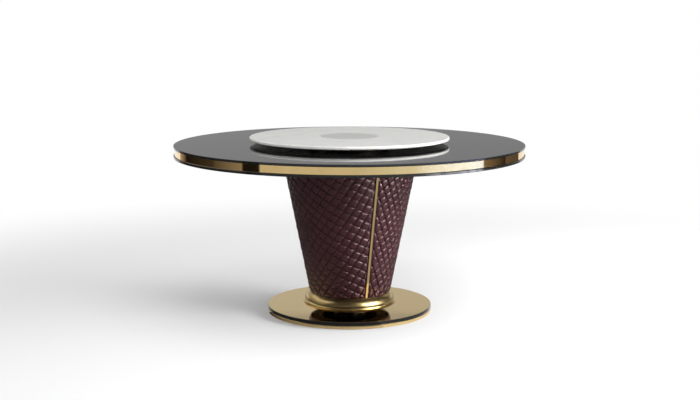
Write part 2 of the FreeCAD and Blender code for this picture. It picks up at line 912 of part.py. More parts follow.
def make_collar():
    foot_radius = size.bead_radius - size.bead_level
    quirk_top = size.quirk_level + size.quirk_set
    ledge_low = size.collar_height - size.collar_wall
    lip_radius = size.cushion_head_radius - size.cushion_lip_run
    profile = [
        (size.collar_foot_bore, zero),
        (foot_radius, zero, size.bead_level),
        (size.bead_radius, size.bead_level, size.bead_head_round),
        (size.quirk_radius, size.quirk_level),
        (size.quirk_radius - size.quirk_depth, size.quirk_level + size.quirk_set / 2),
        (size.quirk_radius - size.quirk_set, quirk_top, size.cushion_round),
        (size.cushion_head_radius, size.collar_height - size.cushion_lip_drop),
        (lip_radius, size.collar_height),
        (size.collar_ledge_bore, size.collar_height),
        (size.collar_ledge_bore, ledge_low),
        (lip_radius, ledge_low, -(size.cushion_round - size.collar_wall)),
        (size.quirk_radius - size.quirk_set - size.collar_wall, quirk_top),
        (foot_radius - size.collar_wall, size.collar_wall),
        (size.collar_foot_bore, size.collar_wall),
    ]
    collar = turned("collar_ring", [(c[0], base_top + c[1], *c[2:]) for c in profile])
    drill(
        collar,
        size.collar_screw_circle,
        size.collar_screw_count,
        size.collar_screw_radius + size.thread_fit,
        drum_foot,
        size.collar_wall + size.cut_past,
    )
    turned_set("collar_screws", size.collar_screw_circle, size.collar_screw_count, pan_head(
        size.collar_screw_head_radius,
        size.collar_screw_head_height,
        size.collar_screw_radius,
        foot_hoop_top,
        drum_foot - size.collar_wall - size.collar_screw_end,
    ))


# Turntable: ball bearing on pads, board, marble disc and inlay

outer_ring_low = size.table_height + size.bearing_pad_thick
race = outer_ring_low + size.race_level
board_low = outer_ring_low + size.bearing_height
inner_ring_low = board_low - size.inner_ring_height
board_top = board_low + size.board_thick
marble_top = board_top + size.marble_thick


def make_bearing():
    turned_set("bearing_pads", size.bearing_pad_circle, size.bearing_pad_count, [
        (zero, size.table_height),
        (size.bearing_pad_radius, size.table_height),
        (size.bearing_pad_radius, outer_ring_low),
        (zero, outer_ring_low),
    ])
    groove = size.ball_radius + size.ball_gap
    half_gap = size.ring_gap / 2
    half_groove = root(groove * groove - half_gap * half_gap)
    outer_bore = size.race_radius + half_gap
    outer_ring_top = outer_ring_low + size.outer_ring_height
    turned("bearing_outer_ring", [
        (outer_bore, outer_ring_low),
        (size.outer_ring_radius, outer_ring_low),
        (size.outer_ring_radius, outer_ring_top),
        (outer_bore, outer_ring_top),
        (outer_bore, race + half_groove, -groove),
        (outer_bore, race - half_groove),
    ])
    inner_radius = size.race_radius - half_gap
    inner = turned("bearing_inner_ring", [
        (size.inner_ring_bore, inner_ring_low),
        (inner_radius, inner_ring_low),
        (inner_radius, race - half_groove, -groove),
        (inner_radius, race + half_groove),
        (inner_radius, board_low),
        (size.inner_ring_bore, board_low),
    ])
    drill(
        inner,
        size.bearing_screw_circle,
        size.bearing_screw_count,
        size.bearing_screw_radius + size.bolt_clearance,
        board_low,
        size.inner_ring_height + size.cut_past,
    )
    screw_seat = inner_ring_low + size.bearing_screw_recess
    drill(
        inner,
        size.bearing_screw_circle,
        size.bearing_screw_count,
        size.bearing_screw_head_radius + size.bolt_clearance,
        screw_seat,
        size.bearing_screw_recess + size.cut_past,
    )
    turned_set("bearing_balls", size.race_radius, size.ball_count, [
        (zero, race - size.ball_radius, size.ball_radius),
        (size.ball_radius, race, size.ball_radius),
        (zero, race + size.ball_radius),
    ])
    make_ball_cage()
    turned_set("bearing_screws", size.bearing_screw_circle, size.bearing_screw_count, pan_head(
        size.bearing_screw_head_radius,
        size.bearing_screw_head_height,
        size.bearing_screw_radius,
        screw_seat,
        board_low + size.bearing_screw_reach,
    ))


def make_ball_cage():
    """A thin ring between the races, with one round pocket for each ball."""
    half_wall = size.cage_thick / 2
    half_height = size.cage_height / 2
    cage = turned("ball_cage", ring(
        size.race_radius - half_wall,
        size.race_radius + half_wall,
        race - half_height,
        race + half_height,
    ))
    sketch = new_sketch(cage, "ball_cage_pocket", "YZ_Plane")
    draw_circle(sketch, size.ball_radius + size.ball_gap, centre_y=race)
    pocket = cage.newObject("PartDesign::Pocket", "ball_cage_pierced")
    pocket.Profile = sketch
    pocket.Reversed = True
    bind(pocket, "Length", size.race_radius + size.cage_thick)
    polar(cage, [pocket], size.ball_count)


def make_turntable():
    board = turned("turntable_board", disc(size.board_radius, board_low, board_top, size.board_arris))
    drill(
        board,
        size.bearing_screw_circle,
        size.bearing_screw_count,
        size.bearing_screw_radius + size.thread_fit,
        board_low + size.bearing_screw_reach,
        size.bearing_screw_reach + size.cut_past,
    )
    recess_low = marble_top - size.inlay_thick
    recess_radius = size.inlay_radius + size.inlay_gap
    turned("marble_disc", [
        (zero, board_top),
        (size.marble_radius - size.marble_round, board_top, size.marble_round),
        (size.marble_radius, board_top + size.marble_round),
        (size.marble_radius, marble_top - size.marble_round, size.marble_round),
        (size.marble_radius - size.marble_round, marble_top),
        (recess_radius, marble_top),
        (recess_radius, recess_low),
        (zero, recess_low),
    ])
    turned("centre_inlay", [
        (zero, recess_low),
        (size.inlay_radius, recess_low),
        (size.inlay_radius, marble_top),
        (zero, marble_top),
    ])


make_floor_glides()
make_base()
make_base_fasteners()
make_column()
make_collar()
make_drum()
make_upholstery()
make_top()
make_top_fasteners()
make_bearing()
make_turntable()
doc.recompute()

for item in doc.Objects:
    if "Invalid" in item.State or "Error" in item.State:
        raise RuntimeError(f"{item.Name} failed: {item.State}")
for subpart in subparts:
    if subpart.Shape.isNull() or not subpart.Shape.isValid():
        raise RuntimeError(f"{subpart.Label} has no valid shape")

os.makedirs("parts", exist_ok=True)
for subpart in subparts:
    subpart.Shape.exportStep(f"parts/{subpart.Label}.step")
    print(subpart.Label, len(subpart.Shape.Solids), round(subpart.Shape.Volume / 1000, 2), "cm3")
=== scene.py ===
import json
import math

import bmesh
import bpy
from mathutils import Matrix, Vector, noise

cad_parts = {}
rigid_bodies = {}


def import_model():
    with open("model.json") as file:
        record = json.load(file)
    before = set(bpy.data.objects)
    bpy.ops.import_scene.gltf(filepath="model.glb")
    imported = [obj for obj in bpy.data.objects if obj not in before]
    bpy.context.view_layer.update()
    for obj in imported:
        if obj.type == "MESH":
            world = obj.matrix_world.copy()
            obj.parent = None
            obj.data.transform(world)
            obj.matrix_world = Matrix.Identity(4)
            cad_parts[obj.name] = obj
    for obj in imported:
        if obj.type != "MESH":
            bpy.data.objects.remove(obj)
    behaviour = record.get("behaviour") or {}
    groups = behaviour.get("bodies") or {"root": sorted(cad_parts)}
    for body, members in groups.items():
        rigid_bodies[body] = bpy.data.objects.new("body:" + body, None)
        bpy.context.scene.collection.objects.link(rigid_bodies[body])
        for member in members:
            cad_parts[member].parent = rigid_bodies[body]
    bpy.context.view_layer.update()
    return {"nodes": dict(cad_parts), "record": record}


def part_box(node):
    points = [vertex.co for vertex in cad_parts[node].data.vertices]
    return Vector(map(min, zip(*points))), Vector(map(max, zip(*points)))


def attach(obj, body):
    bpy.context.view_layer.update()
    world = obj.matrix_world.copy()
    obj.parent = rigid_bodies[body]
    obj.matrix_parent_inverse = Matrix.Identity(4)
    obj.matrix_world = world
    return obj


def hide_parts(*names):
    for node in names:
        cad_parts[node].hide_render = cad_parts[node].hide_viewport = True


# Round dining table: black top in a gold band, marble turntable, quilted leather pedestal
# and stepped gold base. Metres, +Z up, the front is -Y.

for startup_object in list(bpy.data.objects):
    bpy.data.objects.remove(startup_object)

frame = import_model()

IMAGE_WIDTH = 700
FOCAL_PIXELS = 1226
SENSOR_WIDTH = 36
CAMERA_PLACE = (0.0027, -5.4388, 1.3471)
CAMERA_DOWN = math.radians(8.83)

# the pedestal's cone, through the crowns of the quilting
CONE_FOOT_RADIUS = 0.1798
CONE_HEAD_RADIUS = 0.3028
CONE_HEAD_LEVEL = 0.707
SEAM_DEPTH = 0.0045
PAD_THICK = 0.008
CREASE_DEPTH = 0.0068
LEATHER_THICK = 0.005
SEAM_TURN = math.radians(-65)
SEAM_GAP_TURN = math.radians(1.2)

cone_foot_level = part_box("quilted_panel_front")[0].z
cone_slope = (CONE_HEAD_RADIUS - CONE_FOOT_RADIUS) / (CONE_HEAD_LEVEL - cone_foot_level)
cone_lean = cone_slope / math.hypot(1, cone_slope)


class Finish:
    """A material being made: its nodes, its shader and the coordinates it reads."""

    def __init__(self, name, **sockets):
        self.material = bpy.data.materials.new(name)
        self.material.use_nodes = True
        self.tree = self.material.node_tree
        self.shader = self.tree.nodes["Principled BSDF"]
        self.object_place = self.tree.nodes.new("ShaderNodeTexCoord").outputs["Object"]
        for socket, value in sockets.items():
            self.set(socket.replace("_", " "), value)

    def set(self, socket, value):
        self.plug(self.shader.inputs[socket], value)

    def plug(self, socket, value):
        if isinstance(value, bpy.types.NodeSocket):
            self.tree.links.new(value, socket)
        else:
            socket.default_value = value

    def node(self, kind, inputs, **settings):
        made = self.tree.nodes.new(kind)
        for setting, value in settings.items():
            setattr(made, setting, value)
        for socket, value in inputs.items():
            self.plug(made.inputs[socket], value)
        return made

    def math(self, operation, first, second=0.0):
        return self.node("ShaderNodeMath", {0: first, 1: second}, operation=operation).outputs[0]

    def stretched(self, scale):
        inputs = {"Vector": self.object_place, "Scale": scale}
        return self.node("ShaderNodeMapping", inputs).outputs["Vector"]

    def noise(self, scale, detail=3.0, place=None, distortion=0.0):
        inputs = {
            "Vector": place or self.object_place,
            "Scale": scale,
            "Detail": detail,
            "Distortion": distortion,
        }
        return self.node("ShaderNodeTexNoise", inputs).outputs["Fac"]

    def cells(self, scale, output="Distance"):
        inputs = {"Vector": self.object_place, "Scale": scale}
        return self.node("ShaderNodeTexVoronoi", inputs).outputs[output]

    def ranged(self, value, low, high, start=0.3, end=0.7):
        """Ease from low to high while the value goes from start to end."""
        inputs = {"Value": value, "From Min": start, "From Max": end, "To Min": low, "To Max": high}
        return self.node("ShaderNodeMapRange", inputs, interpolation_type="SMOOTHSTEP").outputs[0]

    def mixed(self, share, first, second):
        made = self.node("ShaderNodeMix", {}, data_type="RGBA")
        self.plug(made.inputs["Factor"], share)
        for socket, colour in (("A", first), ("B", second)):
            if not isinstance(colour, bpy.types.NodeSocket):
                colour = (*colour, 1)
            self.plug(next(i for i in made.inputs if i.name == socket and i.type == "RGBA"), colour)
        return next(o for o in made.outputs if o.type == "RGBA")

    def bump(self, height, distance, under=None):
        inputs = {"Height": height, "Distance": distance}
        if under is not None:
            inputs["Normal"] = under
        return self.node("ShaderNodeBump", inputs).outputs["Normal"]


# Finishes, one for each slot of the record

def black_slab(name):
    finish = Finish(name, IOR=1.5)
    specks = finish.ranged(finish.cells(900), 1, 0, start=0.05, end=0.16)
    faint_specks = finish.math("MULTIPLY", specks, 0.12)
    cloud = finish.ranged(finish.noise(6), 0, 1)
    stone = finish.mixed(cloud, (0.006, 0.006, 0.0065), (0.011, 0.011, 0.0115))
    finish.set("Base Color", finish.mixed(faint_specks, stone, (0.05, 0.05, 0.052)))
    finish.set("Roughness", finish.ranged(finish.noise(9, detail=6), 0.035, 0.055))
    return finish.material


def black_lacquer(name):
    finish = Finish(name, IOR=1.5)
    cloud = finish.noise(40)
    finish.set("Base Color", finish.mixed(cloud, (0.007, 0.0065, 0.006), (0.013, 0.012, 0.011)))
    finish.set("Roughness", finish.ranged(finish.noise(30, detail=5), 0.09, 0.17))
    finish.set("Normal", finish.bump(finish.noise(420, detail=2), 0.00005))
    return finish.material


def gold(name, light, dark, smooth, rough, line_depth):
    """Gold plating with faint smudges and fine polishing lines along the turned surface."""
    finish = Finish(name, Metallic=1)
    smudges = finish.ranged(finish.noise(14, detail=4), 0, 1)
    finish.set("Base Color", finish.mixed(smudges, light, dark))
    finish.set("Roughness", finish.ranged(finish.noise(22, detail=6), smooth, rough))
    lines = finish.noise(1, detail=2, place=finish.stretched((6, 6, 2600)))
    finish.set("Normal", finish.bump(lines, line_depth))
    return finish.material


def gold_polished(name):
    return gold(name, (0.91, 0.665, 0.32), (0.87, 0.625, 0.29), 0.04, 0.075, 0.000004)


def gold_satin(name):
    return gold(name, (0.66, 0.485, 0.215), (0.60, 0.435, 0.19), 0.282, 0.31, 0.000002)


def gold_plated_steel(name):
    return gold(name, (0.89, 0.66, 0.32), (0.82, 0.60, 0.28), 0.14, 0.24, 0.000008)


def gold_mirror(name):
    finish = Finish(name, Metallic=1)
    finish.set("Base Color", finish.mixed(finish.noise(5), (0.89, 0.66, 0.31), (0.86, 0.63, 0.29)))
    scratches = finish.noise(1, detail=3, place=finish.stretched((900, 30, 1)))
    scuffs_and_crease_shade = finish.math("MULTIPLY", scratches, finish.noise(8, detail=5))
    finish.set("Roughness", finish.ranged(scuffs_and_crease_shade, 0.04, 0.10, start=0.1, end=0.5))
    finish.set("Normal", finish.bump(finish.noise(7, detail=1), 0.0002))
    return finish.material


def plum_leather(name):
    """Semi-gloss leather with pore grain, drawn wrinkles and dashed thread in the stitch lines,
    with painted shade along the lines.
    """
    finish = Finish(
        name,
        IOR=1.6,
        Specular_Tint=(1, 0.7, 0.7, 1),
        Coat_Weight=0.1,
        Coat_Roughness=0.15,
    )
    quilt = finish.node("ShaderNodeUVMap", {}, uv_map="quilt").outputs["UV"]
    parts = finish.node("ShaderNodeSeparateXYZ", {"Vector": quilt}).outputs
    pitch = 0.034
    stitch_length = 0.006
    stitch_share = 0.72
    thread_half = 0.0006
    thread_strength = 0.5
    crease_shade_reach = 0.003
    thread = 0.0
    crease_shade = 0.0
    for across, along in ((parts["X"], parts["Y"]), (parts["Y"], parts["X"])):
        offset = finish.math("SUBTRACT", finish.math("FRACT", finish.math("ADD", across, 0.5)), 0.5)
        away = finish.math("MULTIPLY", finish.math("ABSOLUTE", offset), pitch)
        on_line = finish.math("LESS_THAN", away, thread_half)
        step = finish.math("FRACT", finish.math("MULTIPLY", along, pitch / stitch_length))
        dash = finish.math("MULTIPLY", on_line, finish.math("LESS_THAN", step, stitch_share))
        thread = finish.math("MAXIMUM", thread, dash)
        # painted shade: the leather darkens along each stitch line, fading out within the reach
        scuffs_and_crease_shade = finish.ranged(away, 1, 0, start=0, end=crease_shade_reach)
        crease_shade = finish.math("MAXIMUM", crease_shade, scuffs_and_crease_shade)
    grain = finish.cells(950)
    wrinkles = finish.noise(120, detail=5, distortion=0.6)
    cloud = finish.ranged(finish.noise(11, detail=4), 0, 1)
    hide = finish.mixed(cloud, (0.032, 0.0097, 0.0123), (0.042, 0.0136, 0.0167))
    wear = finish.ranged(grain, 0.0, 0.3, start=0.1, end=0.6)
    worn = finish.mixed(wear, hide, (0.058, 0.021, 0.0246))
    # painted shade in the creases: the leather turns almost black on the stitch lines
    shaded = finish.mixed(crease_shade, worn, (0.008, 0.0025, 0.003))
    sewn = finish.math("MULTIPLY", thread, thread_strength)
    finish.set("Base Color", finish.mixed(sewn, shaded, (0.065, 0.026, 0.029)))
    finish.set("Roughness", finish.ranged(finish.noise(70, detail=4), 0.18, 0.26))
    creased = finish.bump(wrinkles, 0.0005)
    pores = finish.bump(grain, 0.00022, under=creased)
    finish.set("Normal", finish.bump(thread, 0.0005, under=pores))
    return finish.material


def white_marble(name):
    finish = Finish(name, IOR=1.5)
    cloud = finish.ranged(finish.noise(3.2, detail=6, distortion=0.8), 0, 1)
    ground = finish.mixed(cloud, (0.815, 0.81, 0.782), (0.79, 0.785, 0.758))
    folds = finish.noise(2.3, detail=7, distortion=1.6)
    ridge = finish.math("ABSOLUTE", finish.math("SUBTRACT", folds, 0.5))
    patches = finish.ranged(finish.noise(5), 0, 0.4)
    lines = finish.ranged(ridge, 1, 0, start=0.0, end=0.03)
    veins = finish.math("MULTIPLY", lines, patches)
    finish.set("Base Color", finish.mixed(veins, ground, (0.60, 0.595, 0.575)))
    finish.set("Roughness", finish.ranged(finish.noise(18, detail=5), 0.135, 0.15))
    return finish.material


def grey_stone(name):
    finish = Finish(name, IOR=1.5)
    grit = finish.ranged(finish.noise(500, detail=2), 0, 0.1)
    cloud = finish.mixed(finish.noise(18, detail=3), (0.448, 0.448, 0.426), (0.464, 0.464, 0.441))
    finish.set("Base Color", finish.mixed(grit, cloud, (0.42, 0.42, 0.40)))
    finish.set("Roughness", finish.ranged(finish.noise(40, detail=3), 0.28, 0.29))
    return finish.material


def board_core(name):
    finish = Finish(name)
    fibres = finish.noise(1, detail=5, place=finish.stretched((700, 700, 1500)))
    finish.set("Base Color", finish.mixed(fibres, (0.33, 0.23, 0.14), (0.50, 0.37, 0.24)))
    finish.set("Roughness", finish.ranged(fibres, 0.75, 0.95))
    finish.set("Normal", finish.bump(fibres, 0.0002))
    return finish.material


def plywood(name):
    finish = Finish(name)
    rings = finish.noise(1, detail=6, place=finish.stretched((22, 22, 1.6)), distortion=1.2)
    pores = finish.noise(1, detail=3, place=finish.stretched((900, 900, 40)))
    timber = finish.mixed(rings, (0.46, 0.31, 0.17), (0.68, 0.51, 0.32))
    open_pores = finish.ranged(pores, 0, 0.4, start=0.55, end=0.75)
    finish.set("Base Color", finish.mixed(open_pores, timber, (0.28, 0.17, 0.09)))
    finish.set("Roughness", finish.ranged(rings, 0.55, 0.75))
    finish.set("Normal", finish.bump(pores, 0.00015))
    return finish.material


def painted_steel(name):
    finish = Finish(name)
    cloud = finish.noise(35)
    finish.set("Base Color", finish.mixed(cloud, (0.035, 0.035, 0.038), (0.055, 0.055, 0.06)))
    finish.set("Roughness", finish.ranged(finish.noise(25, detail=4), 0.42, 0.58))
    finish.set("Normal", finish.bump(finish.noise(900, detail=2), 0.0001))
    return finish.material


def zinc_steel(name):
    finish = Finish(name, Metallic=1)
    crystals = finish.cells(160, "Color")
    finish.set("Base Color", finish.mixed(crystals, (0.56, 0.56, 0.54), (0.68, 0.68, 0.66)))
    finish.set("Roughness", finish.ranged(finish.noise(140, detail=4), 0.28, 0.45))
    finish.set("Normal", finish.bump(finish.noise(600, detail=2), 0.00003))
    return finish.material


def moulded(name, light, dark, smooth, rough):
    """Moulded plastic or rubber with a fine matte texture."""
    finish = Finish(name)
    finish.set("Base Color", finish.mixed(finish.noise(90), light, dark))
    finish.set("Roughness", finish.ranged(finish.noise(200, detail=4), smooth, rough))
    finish.set("Normal", finish.bump(finish.noise(1500, detail=2), 0.00006))
    return finish.material


def nylon(name):
    return moulded(name, (0.050, 0.050, 0.050), (0.070, 0.070, 0.072), 0.45, 0.6)


def silicone(name):
    return moulded(name, (0.52, 0.52, 0.51), (0.58, 0.58, 0.57), 0.5, 0.65)


def bearing_aluminium(name):
    return gold(name, (0.74, 0.66, 0.52), (0.66, 0.58, 0.45), 0.22, 0.34, 0.00001)


def bearing_steel(name):
    finish = Finish(name, Metallic=1)
    cloud = finish.noise(300)
    finish.set("Base Color", finish.mixed(cloud, (0.66, 0.66, 0.68), (0.74, 0.74, 0.76)))
    finish.set("Roughness", finish.ranged(finish.noise(500, detail=4), 0.05, 0.12))
    return finish.material


MAKERS = (
    black_slab, black_lacquer, gold_polished, gold_satin, gold_plated_steel, gold_mirror,
    plum_leather, white_marble, grey_stone, board_core, plywood, painted_steel, zinc_steel,
    nylon, silicone, bearing_aluminium, bearing_steel,
)
finishes = {maker.__name__: maker(maker.__name__) for maker in MAKERS}

for subpart in frame["record"]["subparts"]:
    node = frame["nodes"][subpart["node"]]
    for material_slot in node.material_slots:
        material_slot.material = finishes[subpart["material_slot"]]

# as photographed, the base sheet mirrors the leather and not the collar
frame["nodes"]["collar_ring"].visible_glossy = False


def add_piece(name, mesh_data, node, slot):
    """Put a finished mesh in the scene in place of a CAD node of the table's fixed body."""
    bmesh.ops.recalc_face_normals(mesh_data, faces=mesh_data.faces)
    for face in mesh_data.faces:
        face.smooth = True
    mesh = bpy.data.meshes.new(name)
    mesh_data.to_mesh(mesh)
    mesh_data.free()
    piece = bpy.data.objects.new(name, mesh)
    bpy.context.collection.objects.link(piece)
    mesh.materials.append(finishes[slot])
    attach(piece, "table")
    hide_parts(node)
    return piece


# Quilted leather: each half cone is cut flat, stitched along straight lines and rolled up

class StitchLines:
    """A family of parallel stitch lines in the flat pattern, whose centre is the cone's tip."""

    def __init__(self, pitch, angle, start, side):
        self.pitch = pitch
        self.start = start
        turned = math.radians(angle)
        self.across = Vector((side * math.sin(turned), math.cos(turned), 0))

    def number(self, point):
        """How many pitches a point lies from the first line."""
        return (self.across.dot(point) - self.start) / self.pitch

    def cut(self, pattern):
        """Cut an edge into the pattern along every line that crosses it."""
        snap = 0.0003
        numbers = [self.number(vert.co) for vert in pattern.verts]
        for number in range(math.ceil(min(numbers)), math.floor(max(numbers)) + 1):
            bmesh.ops.bisect_plane(
                pattern,
                geom=pattern.verts[:] + pattern.edges[:] + pattern.faces[:],
                dist=snap,
                plane_co=self.across * (self.start + number * self.pitch),
                plane_no=self.across,
            )


def pillow(share):
    """Height of the padding between two stitch lines, 0 on a line and 1 midway."""
    squareness = 2.8
    return 1 - abs(2 * (share % 1) - 1) ** squareness


def eased(distance, reach):
    """0 at an edge, rising smoothly to 1 where the reach ends."""
    share = min(1, max(0, distance / reach))
    return share * share * (3 - 2 * share)


def quilted_panel(node, middle_turn, falling, rising):
    """One half cone of leather, whose middle faces the given turn."""
    rows = 150
    columns = 180
    edge_depth, edge_reach = 0.0032, 0.008
    seam_depth, seam_reach = 0.0075, 0.016
    fullness = 0.42
    unevenness = 0.08
    cell_spacing = 1.37
    low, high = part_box(node)
    half_turn = (math.pi - SEAM_GAP_TURN) / 2
    half_fan = half_turn * cone_lean
    head_radius = CONE_FOOT_RADIUS + (high.z - low.z) * cone_slope
    pattern = bmesh.new()
    foot = pattern.verts.new((0, CONE_FOOT_RADIUS / cone_lean, 0))
    head = pattern.verts.new((0, head_radius / cone_lean, 0))
    bmesh.ops.subdivide_edges(pattern, edges=[pattern.edges.new((foot, head))], cuts=rows - 1)
    bmesh.ops.rotate(pattern, matrix=Matrix.Rotation(half_fan, 3, "Z"), verts=pattern.verts)
    fan = pattern.verts[:] + pattern.edges[:]
    bmesh.ops.spin(pattern, geom=fan, axis=(0, 0, 1), angle=-2 * half_fan, steps=columns)
    falling.cut(pattern)
    rising.cut(pattern)

    quilt = pattern.loops.layers.uv.new("quilt")
    for face in pattern.faces:
        for loop in face.loops:
            loop[quilt].uv = falling.number(loop.vert.co), rising.number(loop.vert.co)

    for vert in pattern.verts:
        down, up = falling.number(vert.co), rising.number(vert.co)
        radius = vert.co.length * cone_lean
        turn = math.atan2(vert.co.x, vert.co.y) / cone_lean
        level = low.z + (radius - CONE_FOOT_RADIUS) / cone_slope
        to_seam = (half_turn - abs(turn)) * radius
        to_edge = min(level - low.z, high.z - level)
        cell = Vector((math.floor(down), math.floor(up), middle_turn))
        plump = 1 + unevenness * noise.cell(cell * cell_spacing)
        depth = CREASE_DEPTH * (1 - plump * (pillow(down) * pillow(up)) ** fullness)
        depth = edge_depth + (depth - edge_depth) * eased(to_edge, edge_reach)
        radius -= seam_depth + (depth - seam_depth) * eased(to_seam, seam_reach)
        vert.co = (
            radius * math.cos(middle_turn + turn),
            radius * math.sin(middle_turn + turn),
            level,
        )
    panel = add_piece(f"{node}_leather", pattern, node, "plum_leather")
    backing = panel.modifiers.new("backing", "SOLIDIFY")
    backing.thickness = LEATHER_THICK
    backing.offset = -1


quilted_panel(
    "quilted_panel_front",
    SEAM_TURN - math.pi / 2,
    StitchLines(0.0350, 39.8, 0.0174, 1),
    StitchLines(0.0344, 45.2, 0.0063, -1),
)
quilted_panel(
    "quilted_panel_rear",
    SEAM_TURN + math.pi / 2,
    StitchLines(0.0320, 48.8, 0.0244, 1),
    StitchLines(0.0324, 50.2, 0.0208, -1),
)


# Gold strips over the two seams

def seam_strip(node, turn):
    """A T section: a rounded cap over the seam and a leg that stands in it."""
    width = 0.011
    cap_thick = 0.003
    leg_thick = 0.0022
    clearance = 0.0003
    low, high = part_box(node)
    length = high.z - low.z
    cap_low = CONE_FOOT_RADIUS - SEAM_DEPTH + clearance
    leg_low = CONE_FOOT_RADIUS - SEAM_DEPTH - PAD_THICK
    strip = bmesh.new()
    for inner, outer, wide, rounding in (
        (leg_low, cap_low, leg_thick, 0.0002),
        (cap_low, cap_low + cap_thick, width, 0.0011),
    ):
        bar = bmesh.ops.create_cube(strip, size=1)["verts"]
        bmesh.ops.scale(strip, vec=(outer - inner, wide, length), verts=bar)
        centre = ((inner + outer) / 2, 0, low.z + length / 2)
        bmesh.ops.translate(strip, vec=centre, verts=bar)
        arrises = {edge for vert in bar for edge in vert.link_edges}
        bmesh.ops.bevel(
            strip,
            geom=list(arrises),
            offset=rounding,
            segments=4,
            profile=0.5,
            affect="EDGES",
            material=-1,
        )
    for vert in strip.verts:
        vert.co.x += (vert.co.z - low.z) * cone_slope
    bmesh.ops.rotate(strip, matrix=Matrix.Rotation(turn, 3, "Z"), verts=strip.verts)
    piece = add_piece(f"{node}_trim", strip, node, "gold_polished")
    piece.modifiers.new("even_shading", "WEIGHTED_NORMAL")


seam_strip("seam_strip_front", SEAM_TURN)
seam_strip("seam_strip_rear", SEAM_TURN + math.pi)


# Studio: pale floor, white surroundings, soft lamps and reflection cards

def seen_directly(tree):
    """1 on the rays that show the background: camera, glossy and transmission rays."""
    path = tree.nodes.new("ShaderNodeLightPath")
    share = path.outputs["Is Camera Ray"]
    for output in ("Is Glossy Ray", "Is Transmission Ray"):
        either = tree.nodes.new("ShaderNodeMath")
        either.operation = "MAXIMUM"
        tree.links.new(share, either.inputs[0])
        tree.links.new(path.outputs[output], either.inputs[1])
        share = either.outputs[0]
    return share


def stage_object(name, mesh_data, material):
    """Put a mesh of the studio in the scene, which is no piece of the table."""
    mesh = bpy.data.meshes.new(name)
    mesh_data.to_mesh(mesh)
    mesh_data.free()
    mesh.materials.append(material)
    staged = bpy.data.objects.new(name, mesh)
    bpy.context.collection.objects.link(staged)
    return staged


def pale_floor():
    """A floor that takes the shadow near the table and is plain white farther off."""
    radius = 14
    near_white = 0.1
    shadow_reach = (1.3, 3.6)
    material = bpy.data.materials.new("pale_floor")
    material.use_nodes = True
    tree = material.node_tree
    tree.nodes.clear()
    diffuse = tree.nodes.new("ShaderNodeBsdfDiffuse")
    diffuse.inputs["Color"].default_value = (0.88, 0.88, 0.88, 1)
    glow = tree.nodes.new("ShaderNodeEmission")
    glow.inputs["Color"].default_value = (1, 1, 1, 1)
    place = tree.nodes.new("ShaderNodeTexCoord")
    distance = tree.nodes.new("ShaderNodeVectorMath")
    distance.operation = "LENGTH"
    tree.links.new(place.outputs["Object"], distance.inputs[0])
    white = tree.nodes.new("ShaderNodeMapRange")
    white.interpolation_type = "SMOOTHSTEP"
    white.inputs["From Min"].default_value, white.inputs["From Max"].default_value = shadow_reach
    white.inputs["To Min"].default_value, white.inputs["To Max"].default_value = near_white, 1
    tree.links.new(distance.outputs["Value"], white.inputs["Value"])
    share = tree.nodes.new("ShaderNodeMath")
    share.operation = "MULTIPLY"
    tree.links.new(seen_directly(tree), share.inputs[0])
    tree.links.new(white.outputs[0], share.inputs[1])
    mix = tree.nodes.new("ShaderNodeMixShader")
    tree.links.new(share.outputs[0], mix.inputs["Fac"])
    tree.links.new(diffuse.outputs[0], mix.inputs[1])
    tree.links.new(glow.outputs[0], mix.inputs[2])
    output = tree.nodes.new("ShaderNodeOutputMaterial")
    tree.links.new(mix.outputs[0], output.inputs["Surface"])
    ground = bmesh.new()
    bmesh.ops.create_circle(ground, cap_ends=True, radius=radius, segments=96)
    stage_object("pale_floor", ground, material)


def card_glow():
    """Light in each card's own colour, on rays that no matt surface has scattered."""
    half_bounce = 0.5
    material = bpy.data.materials.new("card_glow")
    material.use_nodes = True
    tree = material.node_tree
    tree.nodes.clear()
    colour = tree.nodes.new("ShaderNodeAttribute")
    colour.attribute_name = "glow"
    path = tree.nodes.new("ShaderNodeLightPath")
    mirrored = tree.nodes.new("ShaderNodeMath")
    mirrored.operation = "LESS_THAN"
    mirrored.inputs[1].default_value = half_bounce
    glow = tree.nodes.new("ShaderNodeEmission")
    output = tree.nodes.new("ShaderNodeOutputMaterial")
    tree.links.new(path.outputs["Diffuse Depth"], mirrored.inputs[0])
    tree.links.new(mirrored.outputs[0], glow.inputs["Strength"])
    tree.links.new(colour.outputs["Color"], glow.inputs["Color"])
    tree.links.new(glow.outputs[0], output.inputs["Surface"])
    return material


def grey(level):
    """A neutral card colour."""
    return level, level, level


def warm(level):
    """A brownish card colour."""
    green_share = 0.81
    blue_share = 0.67
    return level, level * green_share, level * blue_share


def reflection_card(name, turns, edge, first, last, material):
    """A card curved round the table that shows only in reflections.

    The turns are its two ends in degrees from the front, + to the right; the edge is its two
    (distance, level) ends; first and last are its colours at the two turns.
    """
    steps = 24
    tolerance = 0.001
    start, end = (math.radians(turn) for turn in turns)
    card = bmesh.new()
    ends = [card.verts.new((0, -distance, level)) for distance, level in edge]
    line = card.edges.new(ends)
    bmesh.ops.rotate(card, matrix=Matrix.Rotation(start, 3, "Z"), verts=ends)
    bmesh.ops.spin(card, geom=[*ends, line], axis=(0, 0, 1), angle=end - start, steps=steps)
    glow = card.verts.layers.float_color.new("glow")
    for vert in card.verts:
        turned = (math.atan2(vert.co.x, -vert.co.y) - start) % math.tau
        share = turned / (end - start) if turned < math.tau - tolerance else 0
        vert[glow] = (*Vector(first).lerp(Vector(last), share), 1)
    staged = stage_object(name, card, material)
    staged.visible_camera = False
    staged.visible_diffuse = False
    staged.visible_shadow = False


